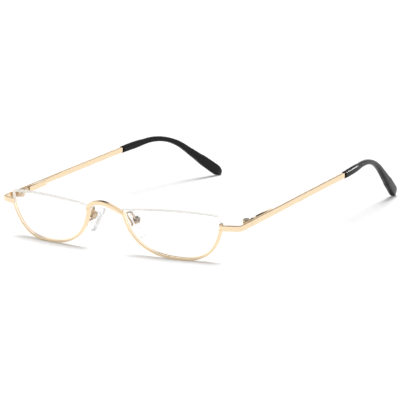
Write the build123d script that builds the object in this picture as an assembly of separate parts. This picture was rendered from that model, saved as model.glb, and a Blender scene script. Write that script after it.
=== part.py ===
from build123d import *
from math import cos, radians, sin, sqrt
import os

# Half eye reading glasses: metal half rims under two half moon lenses, sprung temples, black tips.
# The wearer looks along -Y, so the wearer's left is +X. The left side is modelled and mirrored.
# While the pieces are made, Y = 0 is at the nasal lens corners and Z = 0 is the table.

# Driving dimensions, in millimetres and degrees
lens_width = 48.0
lens_depth = 19.4
lens_crown = 1.7
bridge_width = 18.5
wrap_angle = 7.0
front_tilt = 9.1
lens_top_height = 19.95
temple_length = 143.4
temple_rise = 5.1
temple_lean = 1.7
rest_angle = 0.404
fold_angle_left = 90.0
fold_angle_right = 82.0
flex_angle = 10.0
flex_slide = 0.8
overrun = 4.0

# Lens, its edge ridge and its nylon line
lens_front_radius = 140.0
lens_back_radius = 229.0
lens_thickness = 2.5
lens_centre_drop = 10.0
lens_corner_radius = 1.2
outline_steps = 16
ridge_height = 0.4
ridge_front = 0.5
ridge_back = 1.2
line_diameter = 0.6
line_clearance = 0.06
line_depth = 0.28
line_corner_radius = 1.3
crown_radius_share = 8
lens_edge_shares = [
    (0.953, 0.464), (0.839, 0.839), (0.666, 0.994), (0.5, 0.994),
    (0.343, 0.938), (0.186, 0.777), (0.062, 0.449),
]

# Half rim
rim_outward = 0.8
rim_inward = 0.35
rim_front = 0.2
rim_back = 1.8
rim_nasal_drop = 0.9
fit_clearance = 0.05

# Bridge
bridge_rise = 3.05
bridge_reach = 2.2
bridge_height = 1.95
bridge_depth = 1.6
bridge_foot_height = 1.15
bridge_foot_depth = 2.2
bridge_foot_drop = 1.1
bridge_foot_forward = 0.1
bridge_foot_sunk = 0.6
bridge_corner = 0.35
bridge_arch_shares = [(0.85, 0.30, 0.44), (0.6, 0.68, 0.84), (0.3, 0.93, 0.98)]
bridge_steps = 8
bridge_blend_share = 0.4

# End piece: a flat strap that turns from the front into the line of the temple
strap_height = 2.4
strap_thickness = 1.25
strap_edge_radius = 0.3
strap_bend_radius = 1.9
strap_start_inset = 1.3
strap_start_drop = 5.15
strap_start_behind = 0.16
strap_run = (8.7, 2.9, 0.1)
return_length = 7.9
seam_gap = 0.08
anchor_length = 1.5
anchor_height = 0.85
anchor_depth = 1.5
anchor_edge_radius = 0.2

# Hinge
pin_back = 0.3
barrel_radius = 1.7
knuckle_height = 0.85
eye_height = 1.0
knuckle_gap = 0.05
barrel_gap = 0.1
plate_thickness = 0.8
plate_length = 3.6
screw_radius = 0.7
screw_head_radius = 1.15
screw_head_height = 0.45
screw_slot_width = 0.25
screw_slot_depth = 0.25
screw_fit = 0.02
bushing_wall = 0.3
bushing_fit = 0.03

# Spring housing and what slides in it
housing_start = 6.5
housing_length = 11.4
housing_thickness = 1.9
housing_height = 2.4
housing_edge_radius = 0.35
block_end = 5.8
block_height = 2.2
block_edge_radius = 0.25
shank_radius = 0.65
shank_length = 3.4
bore_radius = 0.7
rod_radius = 0.3
stop_length = 1.0
stop_fit = 0.04
nut_length = 0.9
nut_radius = 0.6
spring_wire = 0.18
spring_radius = 0.5
spring_turns = 7
spring_end_gap = 0.1

# Temple bar and its black tip
bar_height = 2.4
bar_thickness = 1.25
bar_edge_radius = 0.3
tip_mouth = 74.4
tip_straight = 16.8
tip_bend_radius = 34.2
tip_bend_angle = 41.7
tip_inset = 10.6
tip_inset_power = 1.6
tip_steps = 60
tip_corner_share = 0.38
tip_end_shares = [0.96, 0.98, 0.992, 0.998]
core_height = 1.4
core_thickness = 1.0
core_end_share = 0.86
core_taper_share = 0.25
core_sections = 8
core_clearance = 0.05
mouth_notch_radius = 0.9
mouth_notch_depth = 0.55
tip_sections = [
    # share of the length, height, width
    (0.00, 2.95, 2.2),
    (0.05, 3.2, 2.4),
    (0.11, 3.3, 2.5),
    (0.20, 2.9, 2.5),
    (0.31, 2.5, 2.4),
    (0.42, 2.4, 2.4),
    (0.52, 2.6, 2.5),
    (0.61, 3.0, 2.6),
    (0.70, 3.7, 2.8),
    (0.78, 4.4, 3.0),
    (0.86, 4.9, 3.1),
    (0.93, 5.0, 3.1),
]

# Nose pads: the pad's ends and its screw box, from the nasal corner of the lens, and its arm
pad_top_offset = (-1.35, 9.3, -2.5)
pad_bottom_offset = (4.65, 7.6, -13.05)
pad_box_offset = (2.45, 6.6, -5.45)
pad_width = 5.8
pad_thickness = 2.3
pad_edge_radius = 1.0
pad_top_share = 0.74
pad_rock_angle = 8.0
box_long = 2.8
box_wide = 2.5
box_deep = 2.6
box_wall = 0.45
box_edge_radius = 0.25
tab_long = 1.4
tab_clearance = 0.06
insert_long = 5.0
insert_wide = 2.8
insert_thick = 0.9
insert_corner = 0.8
pad_screw_radius = 0.45
pad_screw_head_radius = 0.85
pad_screw_head_height = 0.45
pad_screw_fit = 0.03
arm_radius = 0.42
arm_foot_share = 0.883
arm_foot_sunk = 0.4
arm_foot_run = 2.0
arm_loop_offsets = [(-3.3, -3.2, 3.5), (-1.5, -1.6, 3.7)]
arm_bend_radii = [0.7, 0.9, 0.9]


lens_shares = [(1, 0)] + lens_edge_shares + [(0, 0)]
lower_edge = Spline(*[(u * lens_width, -v * lens_depth) for u, v in lens_shares])


def turned(vector, axis, angle):
    """A vector turned about an axis through the origin."""
    return Vector(*vector).rotate(Axis((0, 0, 0), axis), angle)


# The tilted front and the plane of the left lens: x outward, y up, z to the front
tilted_back = turned((0, 1, 0), (1, 0, 0), front_tilt)
front_plane = Plane((0, 0, lens_top_height), x_dir=(1, 0, 0), z_dir=-tilted_back)
lens_across = turned(turned((1, 0, 0), (0, 0, 1), wrap_angle), (1, 0, 0), front_tilt)
lens_forward = turned(turned((0, -1, 0), (0, 0, 1), wrap_angle), (1, 0, 0), front_tilt)
lens_plane = Plane((bridge_width / 2, 0, lens_top_height), x_dir=lens_across, z_dir=lens_forward)

# The left temple's plane: x outward, y back along the bar, z up along the hinge pin
temple_out = Vector(cos(radians(temple_lean)), sin(radians(temple_lean)), 0)
temple_up = turned((0, 0, 1), temple_out, temple_rise)
temple_back = temple_up.cross(temple_out)
strap_start_place = (lens_width - strap_start_inset, -strap_start_drop, -strap_start_behind)
strap_start = lens_plane.from_local_coords(strap_start_place)
strap_corner = strap_start + Vector(*strap_run)
seam_point = strap_corner + temple_back * return_length
temple_plane = Plane(seam_point, x_dir=temple_out, z_dir=temple_up)
pin_side = -(bar_thickness / 2 + barrel_gap + barrel_radius)


def box_between(low, high):
    """A box from its lowest to its highest corner."""
    size = [high[i] - low[i] for i in range(3)]
    centre = [(high[i] + low[i]) / 2 for i in range(3)]
    return Pos(*centre) * Box(*size)


def edge_point(place, grow):
    """A point at a share of the lens's lower edge, moved outward by a size, in the lens's plane."""
    along = lower_edge % place
    return lower_edge @ place + Vector(-along.Y, along.X).normalized() * grow


def lens_outline(grow, corner=0):
    """The half moon outline of the lens in its own plane, its lower edge moved outward by a size."""
    points = [edge_point(step / outline_steps, grow) for step in range(outline_steps + 1)]
    top = ThreePointArc(points[-1], (lens_width / 2, lens_crown), points[0])
    outline = make_face([Spline(*points), top])
    return fillet(outline.vertices(), corner) if corner else outline


def prism(face):
    """An outline drawn through the whole depth of the front."""
    return extrude(face, amount=rim_back * overrun, both=True)


def bowl(depth):
    """The ball whose surface lies at a depth behind the lens's front surface."""
    half = lens_width / 2
    low = sqrt(lens_front_radius ** 2 - half ** 2 - lens_centre_drop ** 2)
    return Pos(half, -lens_centre_drop, -low) * Sphere(lens_front_radius - depth)


def slice_between(front, back):
    """The part of a prism between two depths, as a curved plate."""
    return bowl(front) - bowl(back)


strap_path = [strap_start, strap_corner, seam_point - temple_back * seam_gap]
strap_up = (strap_path[1] - strap_path[0]).cross(strap_path[2] - strap_path[1]).normalized()
strap_foot = Plane(strap_path[0] - strap_up * strap_height / 2, z_dir=strap_up)
middle = lens_width / 2
reach = lens_width + overrun


def above_rim():
    """What lies over the ends of the half rim, in the place of the model."""
    nasal = lens_plane * box_between((-reach, -rim_nasal_drop, -reach), (middle, reach, reach))
    temporal = strap_foot * box_between((-reach, -reach, 0), (reach, reach, reach))
    return [nasal, temporal & (lens_plane * box_between((middle, -reach, -reach), (reach, reach, reach)))]


def make_rim():
    """The U shaped half rim, grooved for the ridge of the lens, without its ends cut."""
    ring = prism(lens_outline(rim_outward)) - prism(lens_outline(-rim_inward))
    body = ring & slice_between(-rim_front, rim_back)
    groove = slice_between(ridge_front - fit_clearance, ridge_back + fit_clearance)
    groove = groove & prism(lens_outline(fit_clearance))
    rim = lens_plane * (body - groove)
    for block in above_rim():
        rim = rim - block
    return rim


def bowl_height(u, v, depth):
    """The height, in the lens plane, at a depth behind the lens's front surface."""
    low = sqrt(lens_front_radius ** 2 - middle ** 2 - lens_centre_drop ** 2)
    radius = lens_front_radius - depth
    return sqrt(radius ** 2 - (u - middle) ** 2 - (v + lens_centre_drop) ** 2) - low


def line_tube(radius):
    """A tube along the top edge of the lens and down its outer corner to the anchor."""
    side = lens_width - ridge_height - line_depth
    drop = strap_height / 2 + anchor_height - strap_start_drop
    depth = (ridge_front + ridge_back) / 2
    route = [(-line_diameter, -line_depth), (middle, lens_crown - line_depth)]
    route = route + [(side, -line_depth), (side, drop)]
    points = [Vector(u, v, bowl_height(u, v, depth)) for u, v in route]
    crown_radius = lens_width ** 2 / (lens_crown * crown_radius_share)
    path = lens_plane * FilletPolyline(*points, radius=[crown_radius, line_corner_radius])
    return sweep(Plane(path @ 0, z_dir=path % 0) * Circle(radius), path=path)


def make_lens():
    """A clear meniscus with a ridge along its lower edge and a groove along its top."""
    inset = prism(lens_outline(-ridge_height, lens_corner_radius))
    back_height = sqrt(lens_front_radius ** 2 - middle ** 2 - lens_centre_drop ** 2)
    back_centre = lens_front_radius - back_height - lens_thickness - lens_back_radius
    hollow = Pos(middle, -lens_centre_drop, back_centre) * Sphere(lens_back_radius)
    body = lens_plane * ((inset & bowl(0)) - hollow)
    ridge = lens_plane * ((prism(lens_outline(0)) - inset) & slice_between(ridge_front, ridge_back))
    for block in above_rim():
        ridge = ridge - block
    return (body + ridge) - line_tube(line_diameter / 2 + line_clearance)


def cross_plane(point, along, side):
    """A plane across a path, whose x axis lies as near as it can to a side direction."""
    across = side - along * side.dot(along)
    return Plane(point, x_dir=across, z_dir=along)


def make_half_bridge():
    """Half of the saddle bridge: a strap that grows out of the nasal rim end and arches over the nose."""
    side = (rim_inward - rim_outward) / 2
    foot = lens_plane.from_local_coords((side, -bridge_foot_drop, bridge_foot_forward))
    foot = front_plane.to_local_coords(foot)
    crest = Vector(0, bridge_rise, bridge_reach)
    points = []
    span = foot - crest
    for across, up, forward in bridge_arch_shares:
        points.append(crest + Vector(span.X * across, span.Y * (1 - up), span.Z * (1 - forward)))
    rising = (points[0] - foot).normalized()
    points = [foot - rising * bridge_foot_sunk, foot] + points + [crest]
    path = front_plane * Spline(*points, tangents=[rising, (-1, 0, 0)])
    sections = []
    for step in range(bridge_steps + 1):
        place = step / bridge_steps
        end = max(0, 1 - place / bridge_blend_share)
        deep = bridge_depth + (bridge_foot_depth - bridge_depth) * end
        high = bridge_height + (bridge_foot_height - bridge_height) * end
        plane = cross_plane(path @ place, path % place, tilted_back)
        sections.append(plane * RectangleRounded(deep, high, bridge_corner))
    return loft(sections)


def make_end_piece():
    """The flat strap from the rim's outer end to the hinge."""
    path = FilletPolyline(*strap_path, radius=strap_bend_radius)
    plane = cross_plane(path @ 0, path % 0, strap_up)
    return sweep(plane * RectangleRounded(strap_height, strap_thickness, strap_edge_radius), path=path)


def make_line_anchor():
    """The small brazed block that holds the outer end of the nylon line."""
    along = (strap_path[1] - strap_path[0]).normalized()
    centre = strap_path[0] + along * anchor_length / 2 + strap_up * (strap_height + anchor_height) / 2
    block = Box(anchor_length, anchor_depth, anchor_height)
    block = fillet(block.edges().filter_by(Axis.Z), anchor_edge_radius)
    return Plane(centre, x_dir=along, z_dir=strap_up) * block


def pin_cylinder(radius, low, high):
    """A cylinder about the hinge pin, between two heights, in the temple's plane."""
    return Pos(pin_side, pin_back, (low + high) / 2) * Cylinder(radius, high - low)


def bore_cylinder(radius, start, end):
    """A cylinder about the line of the spring housing's bore, in the temple's plane."""
    side = -(bar_thickness + housing_thickness) / 2
    return Pos(side, (start + end) / 2, 0) * Rot(90, 0, 0) * Cylinder(radius, end - start)


def make_hinge_knuckles():
    """The upper and lower knuckles, brazed by their plate to the inside of the end piece."""
    top = eye_height / 2 + knuckle_gap + knuckle_height
    inner = eye_height / 2 + knuckle_gap
    face = -bar_thickness / 2
    plate_low = (face - plate_thickness, -seam_gap - plate_length, -top)
    plate = box_between(plate_low, (face, -seam_gap, top))
    plate = plate - pin_cylinder(barrel_radius + barrel_gap, -inner, inner)
    part = plate
    for low, high in ((inner, top), (-top, -inner)):
        neck_low = (pin_side, pin_back - barrel_radius, low)
        neck = box_between(neck_low, (face - barrel_gap, -seam_gap, high))
        part = part + pin_cylinder(barrel_radius, low, high) + neck
    return part - pin_cylinder(screw_radius + screw_fit, -top - overrun, top + overrun)


def make_hinge_screw():
    """The slotted screw that is the hinge's pin."""
    top = eye_height / 2 + knuckle_gap + knuckle_height
    screw = pin_cylinder(screw_radius, -top, top)
    screw = screw + pin_cylinder(screw_head_radius, top, top + screw_head_height)
    slot_low = (pin_side - screw_slot_width / 2, -overrun, top + screw_head_height - screw_slot_depth)
    return screw - box_between(slot_low, (pin_side + screw_slot_width / 2, overrun, overrun))


def make_hinge_bushing():
    """The thin sleeve between the screw and the slider's eye."""
    inner = screw_radius + bushing_fit
    half = eye_height / 2
    return pin_cylinder(inner + bushing_wall, -half, half) - pin_cylinder(inner, -half, half)


def make_hinge_slider():
    """The slider: an eye on the pin, a block, a shank in the housing and a rod through the spring."""
    half = eye_height / 2
    outer = -bar_thickness / 2 - barrel_gap
    inner = outer - barrel_radius
    start = pin_back + barrel_radius + 2 * barrel_gap
    block = box_between((inner, start, -block_height / 2), (outer, block_end, block_height / 2))
    block = fillet(block.edges().filter_by(Axis.Y), block_edge_radius)
    part = pin_cylinder(barrel_radius, -half, half) + block
    part = part + box_between((inner, pin_back, -half), (outer, start + barrel_gap, half))
    part = part + bore_cylinder(shank_radius, block_end - barrel_gap, block_end + shank_length)
    part = part + bore_cylinder(rod_radius, block_end, rod_end)
    return part - pin_cylinder(screw_radius + 2 * bushing_fit + bushing_wall, -overrun, overrun)


housing_end = housing_start + housing_length
rod_end = housing_end - 2 * spring_wire - fit_clearance * 2
nut_start = rod_end - nut_length
stop_start = block_end + shank_length + 2 * spring_end_gap
stop_end = stop_start + stop_length


def make_spring_stop():
    """The ring fixed in the housing, against which the spring pushes."""
    ring = bore_cylinder(bore_radius, stop_start, stop_end)
    return ring - bore_cylinder(rod_radius + stop_fit, stop_start, stop_end)


def make_slider_nut():
    """The nut on the tail of the slider's rod, which the spring pushes back."""
    return bore_cylinder(nut_radius, nut_start, rod_end) - bore_cylinder(rod_radius, nut_start, rod_end)


def make_coil_spring():
    """The coil spring round the rod, between the stop and the nut."""
    length = nut_start - stop_end - 2 * spring_end_gap - spring_wire
    path = Helix(pitch=length / spring_turns, height=length, radius=spring_radius)
    wire = Plane(path @ 0, z_dir=path % 0) * Circle(spring_wire / 2)
    coil = sweep(wire, path=path, is_frenet=True)
    side = -(bar_thickness + housing_thickness) / 2
    return Pos(side, stop_end + spring_end_gap + spring_wire / 2, 0) * Rot(-90, 0, 0) * coil


def make_spring_housing():
    """The box brazed to the inside of the temple bar, bored for the slider and its spring."""
    face = -bar_thickness / 2
    low = (face - housing_thickness, housing_start, -housing_height / 2)
    box = box_between(low, (face, housing_end, housing_height / 2))
    inner_edges = box.edges().filter_by(Axis.Y).group_by(Axis.X)[0]
    box = fillet(inner_edges, housing_edge_radius)
    return box - bore_cylinder(bore_radius, housing_start - overrun, rod_end + spring_wire)


def tip_point(share):
    """A point on the middle line of the tip, in the temple's plane, at a share of its length."""
    arc = tip_bend_radius * radians(tip_bend_angle)
    length = temple_length - tip_mouth
    end_run = length - tip_straight - arc
    angle = radians(tip_bend_angle)

    def flat_point(distance):
        if distance <= tip_straight:
            return (tip_mouth + distance, 0)
        turn = min(distance - tip_straight, arc) / tip_bend_radius
        run = max(distance - tip_straight - arc, 0)
        back = tip_mouth + tip_straight + tip_bend_radius * sin(turn) + run * cos(angle)
        return (back, -tip_bend_radius * (1 - cos(turn)) - run * sin(angle))
    back, up = flat_point(share * length)
    last = tip_mouth + tip_straight + tip_bend_radius * sin(angle) + end_run * cos(angle)
    return Vector(-tip_inset * ((back - tip_mouth) / (last - tip_mouth)) ** tip_inset_power, back, up)


def tip_plane(share):
    """The plane across the tip at a share of its length: x to the side, y up."""
    step = 1 / tip_steps
    before = tip_point(max(share - step, 0))
    along = (tip_point(min(share + step, 1)) - before).normalized()
    return cross_plane(tip_point(share), along, Vector(1, 0, 0))


def core_loft(end_share, grown):
    """The flat metal core inside the tip, tapered to its end."""
    sections = []
    for step in range(core_sections + 1):
        share = end_share * step / core_sections
        taper = 1 - core_taper_share * step / core_sections
        size = (core_thickness * taper + 2 * grown, core_height * taper + 2 * grown)
        sections.append(tip_plane(share) * Rectangle(*size))
    return loft(sections)


def make_temple_bar():
    """The flat temple bar with the core that carries the tip."""
    half = bar_thickness / 2
    bar_end = tip_mouth + mouth_notch_depth
    bar = box_between((-half, 0, -bar_height / 2), (half, bar_end, bar_height / 2))
    bar = fillet(bar.edges().filter_by(Axis.Y), bar_edge_radius)
    return bar + core_loft(core_end_share, 0)


def make_temple_tip():
    """The black tip: slim over the ear, a flat paddle behind it, with a fish mouth for the bar."""
    sections = []
    for share, height, width in tip_sections:
        sections.append(tip_plane(share) * RectangleRounded(width, height, tip_corner_share * width))
    last_height, last_width = tip_sections[-1][1:]
    for share in tip_end_shares:
        across = (share - tip_sections[-1][0]) / (1 - tip_sections[-1][0])
        taper = sqrt(1 - across ** 2)
        width = last_width * taper
        end = RectangleRounded(width, last_height * taper, tip_corner_share * width)
        sections.append(tip_plane(share) * end)
    body = loft(sections)
    half = bar_thickness / 2 + core_clearance
    bar_end = tip_mouth + mouth_notch_depth + core_clearance
    high = bar_height / 2 + core_clearance
    body = body - box_between((-half, tip_mouth - overrun, -high), (half, bar_end, high))
    body = body - core_loft(core_end_share, core_clearance)
    notch = Pos(0, tip_mouth, 0) * Rot(0, 90, 0) * Cylinder(mouth_notch_radius, overrun)
    return body - Pos(0, mouth_notch_depth - mouth_notch_radius, 0) * notch


# The pad's frame: x down along the pad, z from the pad to its box
pad_top = lens_plane.origin + Vector(*pad_top_offset)
pad_bottom = lens_plane.origin + Vector(*pad_bottom_offset)
pad_box_centre = lens_plane.origin + Vector(*pad_box_offset)
pad_down = (pad_bottom - pad_top).normalized()
pad_to_box = pad_box_centre - pad_top
pad_box_along = pad_to_box.dot(pad_down)
pad_out = pad_to_box - pad_down * pad_box_along
pad_distance = pad_out.length
pad_plane = Plane(pad_box_centre, x_dir=pad_down, z_dir=pad_out)
pad_length = (pad_bottom - pad_top).length


def side_cylinder(radius, low, high):
    """A cylinder about the pad screw, in the pad's frame."""
    return Pos(0, (low + high) / 2, 0) * Rot(90, 0, 0) * Cylinder(radius, high - low)


def make_pad_box():
    """The small open box that holds the pad's tab."""
    box = Box(box_long, box_wide, box_deep)
    box = fillet(box.edges().filter_by(Axis.Z), box_edge_radius)
    low = (box_wall - box_long / 2, box_wall - box_wide / 2, -box_deep)
    pocket = box_between(low, (box_long / 2 - box_wall, box_wide / 2 - box_wall, box_deep / 2 - box_wall))
    hole = side_cylinder(pad_screw_radius + screw_fit, -box_wide, box_wide)
    return pad_plane * (box - pocket - hole)


def make_pad_arm():
    """The gooseneck wire from the back of the rim, up and over to the pad box."""
    edge = edge_point(arm_foot_share, (rim_outward - rim_inward) / 2)
    foot = Vector(edge.X, edge.Y, bowl_height(edge.X, edge.Y, rim_back) + arm_foot_sunk)
    points = [lens_plane.from_local_coords(foot)]
    points.append(points[0] - lens_forward * arm_foot_run)
    for offset in arm_loop_offsets:
        points.append(pad_box_centre + Vector(*offset))
    path = FilletPolyline(*points, pad_box_centre, radius=arm_bend_radii)
    arm = sweep(cross_plane(path @ 0, path % 0, Vector(0, 0, 1)) * Circle(arm_radius), path=path)
    return arm - pad_plane * Box(box_long, box_wide, box_deep)


def make_pad_screw():
    """The screw through the box and the pad's tab, on which the pad rocks."""
    half = box_wide / 2
    screw = side_cylinder(pad_screw_radius, -half, half)
    screw = screw + side_cylinder(pad_screw_head_radius, half, half + pad_screw_head_height)
    slot_low = (-overrun, half + pad_screw_head_height - screw_slot_depth, -screw_slot_width / 2)
    return pad_plane * (screw - box_between(slot_low, (overrun, overrun, screw_slot_width / 2)))


def insert_solid():
    """The pad's hard insert: a plate inside the pad and a tab that enters the box."""
    tab_wide = box_wide - 2 * box_wall - 2 * tab_clearance
    middle_along = pad_length / 2 - pad_box_along
    plate = Pos(middle_along / 2, 0, -pad_distance) * Box(insert_long, insert_wide, insert_thick)
    plate = fillet(plate.edges().filter_by(Axis.Z), insert_corner)
    low = (-tab_long / 2, -tab_wide / 2, -pad_distance)
    tab = box_between(low, (tab_long / 2, tab_wide / 2, 0))
    tab = tab + side_cylinder(tab_long / 2, -tab_wide / 2, tab_wide / 2)
    hole = side_cylinder(pad_screw_radius + pad_screw_fit, -box_wide, box_wide)
    return plate + tab - hole


def make_nose_pad():
    """The soft clear pad, a rounded drop that is narrower at its top, moulded round its insert."""
    radius = pad_width / 2
    small = radius * pad_top_share
    low = pad_length / 2 - radius
    top = small - pad_length / 2
    shape = Pos(low, 0) * Circle(radius) + Pos(top, 0) * Circle(small)
    shape = make_hull(shape.edges())
    body = extrude(shape, amount=pad_thickness / 2, both=True)
    body = fillet(body.edges(), pad_edge_radius)
    middle_along = pad_length / 2 - pad_box_along
    body = Pos(middle_along, 0, -pad_distance) * body
    return pad_plane * (body - insert_solid())


def left_pieces():
    """Every piece of the wearer's left side, by name, in its place."""
    rim = make_rim()
    lens = make_lens()
    half_bridge = make_half_bridge() - rim - lens
    bridge = half_bridge + mirror(half_bridge, about=Plane.YZ)
    anchor = make_line_anchor()
    end_piece = make_end_piece()
    pieces = {
        "half_rim": rim,
        "lens": lens,
        "lens_line": line_tube(line_diameter / 2) - anchor - bridge,
        "line_anchor": anchor - lens,
        "end_piece": end_piece - lens,
        "pad_arm": make_pad_arm() - rim,
        "pad_box": make_pad_box(),
        "pad_screw": make_pad_screw(),
        "pad_insert": pad_plane * insert_solid(),
        "nose_pad": make_nose_pad(),
    }
    temple = {
        "hinge_knuckles": make_hinge_knuckles(),
        "hinge_screw": make_hinge_screw(),
        "hinge_bushing": make_hinge_bushing(),
        "hinge_slider": make_hinge_slider(),
        "spring_stop": make_spring_stop(),
        "coil_spring": make_coil_spring(),
        "slider_nut": make_slider_nut(),
        "spring_housing": make_spring_housing(),
        "temple_bar": make_temple_bar(),
        "temple_tip": make_temple_tip(),
    }
    for name, solid in temple.items():
        pieces[name] = temple_plane * solid
    pieces["hinge_knuckles"] = pieces["hinge_knuckles"] - end_piece
    return pieces, bridge


def write_parts():
    """Mirrors the left side, centres the whole on the table and writes each piece."""
    pieces, bridge = left_pieces()
    nodes = {"bridge": bridge}
    for name, solid in pieces.items():
        nodes["left_" + name] = solid
        nodes["right_" + name] = mirror(solid, about=Plane.YZ)
    for name, solid in nodes.items():
        nodes[name] = Rot(-rest_angle, 0, 0) * solid
    boxes = [solid.bounding_box() for solid in nodes.values()]
    front = min(box.min.Y for box in boxes)
    rear = max(box.max.Y for box in boxes)
    shift = Pos(0, -(front + rear) / 2, -min(box.min.Z for box in boxes))
    os.makedirs("parts", exist_ok=True)
    for name, solid in nodes.items():
        export_step(shift * solid, f"parts/{name}.step")
    return shift


def print_places(place):
    """Prints the points, directions and ranges that the joints and mounts of the record state."""
    middle_share = tip_straight / (temple_length - tip_mouth)
    slim_section = min(tip_sections, key=lambda section: section[1])
    pad_middle = pad_plane.from_local_coords((pad_length / 2 - pad_box_along, 0, -pad_distance - pad_thickness / 2))
    points = {
        "pin": temple_plane.from_local_coords((pin_side, pin_back, 0)),
        "pad pivot": pad_plane.origin,
        "seam": seam_point,
        "nose face": pad_middle,
        "tip middle": temple_plane.from_local_coords(tip_point(middle_share)),
        "tip low": temple_plane.from_local_coords(tip_point(middle_share) - Vector(0, 0, slim_section[1] / 2)),
    }
    for name, point in points.items():
        print("left", name, (place * Pos(*point)).position)
    directions = {
        "pin axis": temple_up,
        "temple back": temple_back,
        "temple out": temple_out,
        "pad axis": pad_plane.y_dir,
        "pad down": pad_plane.x_dir,
        "nose way": -pad_plane.z_dir,
        "lens forward": lens_forward,
    }
    for name, direction in directions.items():
        print("left", name, turned(direction, (1, 0, 0), -rest_angle))
    print("folds", fold_angle_left, fold_angle_right, "flex", flex_angle, "slide", flex_slide, "pad", pad_rock_angle)


if __name__ == "__main__":
    place = write_parts() * Rot(-rest_angle, 0, 0)
    print("place", place.position)
    print_places(place)
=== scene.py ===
import math

import bmesh
import bpy
from bpy.props import FloatProperty, FloatVectorProperty, PointerProperty
from mathutils import Matrix, Vector


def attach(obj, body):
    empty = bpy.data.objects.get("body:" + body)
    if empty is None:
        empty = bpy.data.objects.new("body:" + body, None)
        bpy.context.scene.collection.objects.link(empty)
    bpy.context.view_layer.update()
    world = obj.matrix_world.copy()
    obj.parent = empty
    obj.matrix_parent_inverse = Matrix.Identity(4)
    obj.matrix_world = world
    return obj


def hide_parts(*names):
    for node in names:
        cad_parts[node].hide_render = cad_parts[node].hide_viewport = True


bl_info = {
    "name": "Half eye reading glasses",
    "version": (1, 0, 0),
    "blender": (4, 5, 0),
    "location": "3D View > Sidebar > Glasses",
    "description": "Half eye reading glasses on their packed frame, with a white studio stage",
    "category": "Add Mesh",
}

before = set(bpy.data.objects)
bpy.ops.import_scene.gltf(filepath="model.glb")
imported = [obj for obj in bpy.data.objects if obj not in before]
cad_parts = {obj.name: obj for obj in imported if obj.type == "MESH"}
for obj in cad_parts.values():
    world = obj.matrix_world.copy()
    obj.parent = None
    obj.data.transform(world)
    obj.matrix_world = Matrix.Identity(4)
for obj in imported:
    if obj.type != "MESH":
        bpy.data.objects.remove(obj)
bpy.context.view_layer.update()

MM = 0.001
SIDES = ("left", "right")


# Sizes and colours that a user would change

def length(name, description, millimetres):
    """A length property, in metres, with its default given in millimetres."""
    return FloatProperty(name=name, description=description, default=millimetres * MM, unit="LENGTH",
                         precision=5)


def angle(name, description, degrees):
    """An angle property, with its default given in degrees."""
    return FloatProperty(name=name, description=description, default=math.radians(degrees), unit="ROTATION")


def colour(name, description, value):
    """A linear colour property."""
    return FloatVectorProperty(name=name, description=description, default=value, size=3, min=0, max=1,
                               subtype="COLOR")


class LensSizes(bpy.types.PropertyGroup):
    """Sizes of the lenses, their half rims and the bridge."""
    width: length("Lens width", "Width of one lens", 48)
    depth: length("Lens depth", "Depth of the half moon below its corners", 19.4)
    crown: length("Lens crown", "Rise of the top edge above the corners", 1.7)
    thickness: length("Lens thickness", "Thickness at the middle of the lens", 2.5)
    front_radius: length("Front curve", "Radius of the lens's front surface", 140)
    back_radius: length("Back curve", "Radius of the lens's back surface", 229)
    centre_drop: length("Centre drop", "Depth of the optical centre below the corners", 10)
    edge_inset: length("Edge inset", "Distance of the lens's body inside the bottom of the groove", 0.4)
    bridge: length("Bridge width", "Distance between the lenses", 18.5)
    top_height: length("Corner height", "Height of the lens corners above the table", 19.95)
    wrap: angle("Wrap", "Turn of each lens about the upright", 7)
    tilt: angle("Tilt", "Lean of the front", 9.1)
    rest: angle("Rest", "Lean of the whole until the tips touch the table", 0.4040)
    back_shift: length("Back shift", "Distance from the lens corners to the middle of the whole", 75.0627)
    up_shift: length("Up shift", "Lift of the whole to the table", -0.0757)
    rim_width: length("Rim width", "Width of the half rim seen from the front", 1.15)
    rim_depth: length("Rim depth", "Depth of the half rim from front to back", 2.0)
    rim_offset: length("Rim offset", "Distance of the rim's middle line outside the lens outline", 0.225)
    rim_back: length("Rim set back", "Depth of the rim's middle behind the lens's front", 0.8)
    rim_round: length("Rim rounding", "Rounding of the rim's long edges", 0.3)
    line_radius: length("Line radius", "Radius of the nylon line", 0.3)
    bridge_rise: length("Bridge rise", "Rise of the bridge above the lens corners", 3.05)
    bridge_reach: length("Bridge reach", "Reach of the bridge in front of the lens corners", 2.2)
    bridge_height: length("Bridge height", "Height of the bridge's strap at its crest", 1.95)
    bridge_depth: length("Bridge depth", "Depth of the bridge's strap at its crest", 1.6)


class TempleSizes(bpy.types.PropertyGroup):
    """Sizes of the end pieces, temples and tips."""
    strap_height: length("Strap height", "Height of the end piece", 2.4)
    strap_thickness: length("Strap thickness", "Thickness of the end piece", 1.25)
    strap_bend: length("Strap bend", "Radius of the end piece's bend", 1.9)
    return_length: length("Return", "Length of the end piece behind its corner", 7.9)
    seam_gap: length("Seam gap", "Gap between end piece and temple", 0.08)
    lean: angle("Lean", "Turn of the temple inward", 1.7)
    rise: angle("Rise", "Rise of the temple to the back", 5.1)
    bar_height: length("Bar height", "Height of the temple bar", 2.4)
    bar_thickness: length("Bar thickness", "Thickness of the temple bar", 1.25)
    bar_round: length("Bar rounding", "Rounding of the bar's long edges", 0.16)
    temple_length: length("Temple length", "Length from the hinge seam to the end of the tip", 143.4)
    tip_mouth: length("Tip mouth", "Distance from the hinge seam to the tip's mouth", 74.4)
    tip_straight: length("Straight", "Straight length of the tip before its bend", 16.8)
    tip_bend: length("Bend radius", "Radius of the tip's bend over the ear", 34.2)
    tip_angle: angle("Bend angle", "Angle of the tip's bend over the ear", 41.7)
    tip_inset: length("Inset", "Inward bend of the tip's end", 10.6)
    mouth_depth: length("Mouth depth", "Depth of the fish mouth at the tip's start", 0.9)


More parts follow.
